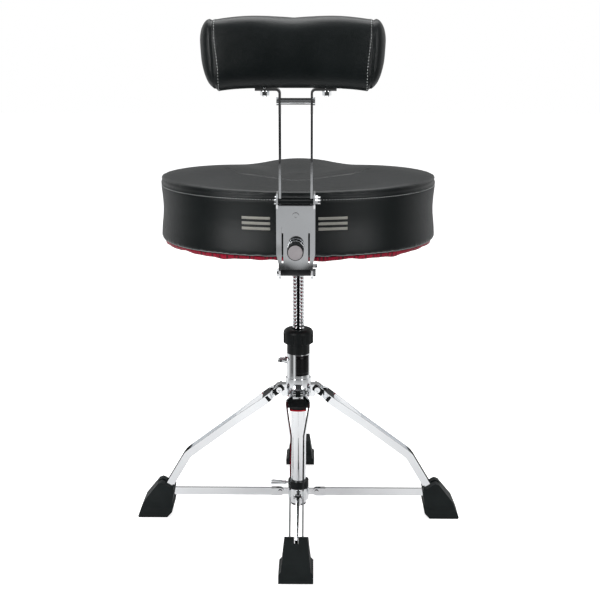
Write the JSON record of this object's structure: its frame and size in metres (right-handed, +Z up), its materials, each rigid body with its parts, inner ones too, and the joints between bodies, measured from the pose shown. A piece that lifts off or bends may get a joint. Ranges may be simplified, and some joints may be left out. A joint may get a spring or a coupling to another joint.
{
  "type": "drum throne",
  "caption": "Drum throne: a saddle seat on a threaded, height-adjustable rod, folding strip legs with rubber boots, and a tilting padded backrest on two posts.",
  "frame": {"origin": "on the column's axis at floor level, where the four boots stand", "axes": "+Z up the column; the backrest is at -Y and the saddle's nose points to +Y; legs lie along X and Y"},
  "size_m": [0.545, 0.5555, 0.833],
  "materials": {
    "chrome": "polished chrome plate",
    "black_plastic": "matt black moulded",
    "rubber": "fine-textured black rubber",
    "leather": "smooth black synthetic leather",
    "red_fabric": "red dust-cover cloth",
    "foam": "open-cell foam",
    "plywood": "plain plywood",
    "black_steel": "black powder coat",
    "zinc_steel": "bright zinc plate",
    "grey_plastic": "satin light grey",
    "brass": "turned"
  },
  "bodies": {
    "base": {"column_tube": "chrome", "center_tube": "chrome", "tube_end_cap": "black_plastic", "leg_hub": "chrome", "hub_bushes": "black_plastic", "leg_pivot_bolts": "chrome", "nut_housing": "black_plastic"},
    "column_bolt": {"column_lock_bolt": "chrome"},
    "collar": {"brace_collar": "chrome", "collar_bush": "black_plastic", "brace_pivot_bolts": "chrome"},
    "collar_bolt": {"collar_wing_bolt": "chrome"},
    "leg_1": {"leg_1_strips": "chrome", "leg_1_fittings": "black_plastic", "leg_1_boot": "rubber"},
    "leg_2": {"leg_2_strips": "chrome", "leg_2_fittings": "black_plastic", "leg_2_boot": "rubber"},
    "leg_3": {"leg_3_strips": "chrome", "leg_3_fittings": "black_plastic", "leg_3_boot": "rubber"},
    "leg_4": {"leg_4_strips": "chrome", "leg_4_fittings": "black_plastic", "leg_4_boot": "rubber"},
    "brace_1": {"brace_1": "chrome"},
    "brace_2": {"brace_2": "chrome"},
    "brace_3": {"brace_3": "chrome"},
    "brace_4": {"brace_4": "chrome"},
    "height_nut": {"height_nut": "black_plastic", "nut_insert": "brass"},
    "rod": {"rod": "chrome"},
    "seat": {"seat_board": "plywood", "seat_foam": "foam", "seat_side_band": "leather", "seat_top_cover": "leather", "seat_dust_cover": "red_fabric", "seat_plate": "black_steel", "seat_screws": "zinc_steel", "backrest_arm": "black_steel", "tilt_barrel": "black_steel"},
    "clamp_bolt": {"socket_clamp_bolt": "chrome"},
    "bracket": {"bracket": "chrome", "clamp_plate": "chrome", "clamp_screw": "chrome", "guide_bolts": "chrome", "guide_rollers": "chrome", "tilt_bolt": "chrome"},
    "knob": {"knob_stem": "zinc_steel", "knob_grip": "black_plastic", "knob_cap": "grey_plastic"},
    "backrest": {"post_left": "chrome", "post_right": "chrome", "height_plate": "zinc_steel", "cross_bar": "chrome", "pad_bolts": "chrome", "pad_board": "plywood", "pad_foam": "foam", "pad_cover": "leather", "pad_end_caps": "leather"}
  },
  "joints": [
    {"name": "leg_1_fold", "type": "hinge", "parent": "base", "child": "leg_1", "pos_m": [0.0317, 0, 0.2239], "axis": [0, 1, 0], "range_deg": [0, 40]},
    {"name": "leg_2_fold", "type": "hinge", "parent": "base", "child": "leg_2", "pos_m": [0, 0.0317, 0.2239], "axis": [-1, 0, 0], "range_deg": [-0.5, 40.5]},
    {"name": "leg_3_fold", "type": "hinge", "parent": "base", "child": "leg_3", "pos_m": [-0.0317, 0, 0.2239], "axis": [0, -1, 0], "range_deg": [-0.5, 40.5]},
    {"name": "leg_4_fold", "type": "hinge", "parent": "base", "child": "leg_4", "pos_m": [0, -0.0317, 0.2239], "axis": [1, 0, 0], "range_deg": [-0.5, 40.5]},
    {"name": "collar_slide", "type": "slide", "parent": "base", "child": "collar", "axis": [0, 0, 1], "range_m": [-0.001, 0.11368]},
    {"name": "brace_1_fold", "type": "hinge", "parent": "collar", "child": "brace_1", "pos_m": [0.031, 0, 0.0385], "axis": [0, 1, 0], "range_deg": [-1, 80.9]},
    {"name": "brace_2_fold", "type": "hinge", "parent": "collar", "child": "brace_2", "pos_m": [0, 0.031, 0.0385], "axis": [-1, 0, 0], "range_deg": [-1, 80.9]},
    {"name": "brace_3_fold", "type": "hinge", "parent": "collar", "child": "brace_3", "pos_m": [-0.031, 0, 0.0385], "axis": [0, -1, 0], "range_deg": [-1, 80.9]},
    {"name": "brace_4_fold", "type": "hinge", "parent": "collar", "child": "brace_4", "pos_m": [0, -0.031, 0.0385], "axis": [1, 0, 0], "range_deg": [-1, 80.9]},
    {"name": "column_bolt_turn", "type": "hinge", "parent": "base", "child": "column_bolt", "pos_m": [-0.025, 0, 0.272], "axis": [-1, 0, 0], "range_deg": [0, 360]},
    {"name": "collar_bolt_turn", "type": "hinge", "parent": "collar", "child": "collar_bolt", "pos_m": [-0.025, 0, 0.0545], "axis": [-1, 0, 0], "range_deg": [0, 360]},
    {"name": "rod_height", "type": "slide", "parent": "base", "child": "rod", "axis": [0, 0, 1], "range_m": [-0.09, 0.055]},
    {"name": "height_nut_turn", "type": "hinge", "parent": "base", "child": "height_nut", "pos_m": [0, 0, 0.318], "axis": [0, 0, 1], "range_deg": [-3310, 5410]},
    {"name": "seat_swivel", "type": "hinge", "parent": "rod", "child": "seat", "pos_m": [0, 0, 0.483], "axis": [0, 0, 1], "continuous": true},
    {"name": "clamp_bolt_turn", "type": "hinge", "parent": "seat", "child": "clamp_bolt", "pos_m": [0, -0.0215, 0.437], "axis": [1, 0, 0], "range_deg": [0, 360]},
    {"name": "backrest_tilt", "type": "hinge", "parent": "seat", "child": "bracket", "pos_m": [0, -0.228, 0.4705], "axis": [1, 0, 0], "range_deg": [0, 15]},
    {"name": "knob_turn", "type": "hinge", "parent": "bracket", "child": "knob", "pos_m": [0, -0.26, 0.51], "axis": [0, -1, 0], "range_deg": [0, 360]},
    {"name": "backrest_height", "type": "slide", "parent": "bracket", "child": "backrest", "axis": [0, 0, 1], "range_m": [-0.028, 0.028]}
  ],
  "couplings": [
    {"joint": "leg_2_fold", "follows": "leg_1_fold", "ratio": 1},
    {"joint": "leg_3_fold", "follows": "leg_1_fold", "ratio": 1},
    {"joint": "leg_4_fold", "follows": "leg_1_fold", "ratio": 1},
    {"joint": "collar_slide", "follows": "leg_1_fold", "m_per_rad": 0.1614},
    {"joint": "brace_1_fold", "follows": "leg_1_fold", "ratio": 1.9974},
    {"joint": "brace_2_fold", "follows": "leg_1_fold", "ratio": 1.9974},
    {"joint": "brace_3_fold", "follows": "leg_1_fold", "ratio": 1.9974},
    {"joint": "brace_4_fold", "follows": "leg_1_fold", "ratio": 1.9974},
    {"joint": "height_nut_turn", "follows": "rod_height", "rad_per_m": -1047.2}
  ]
}
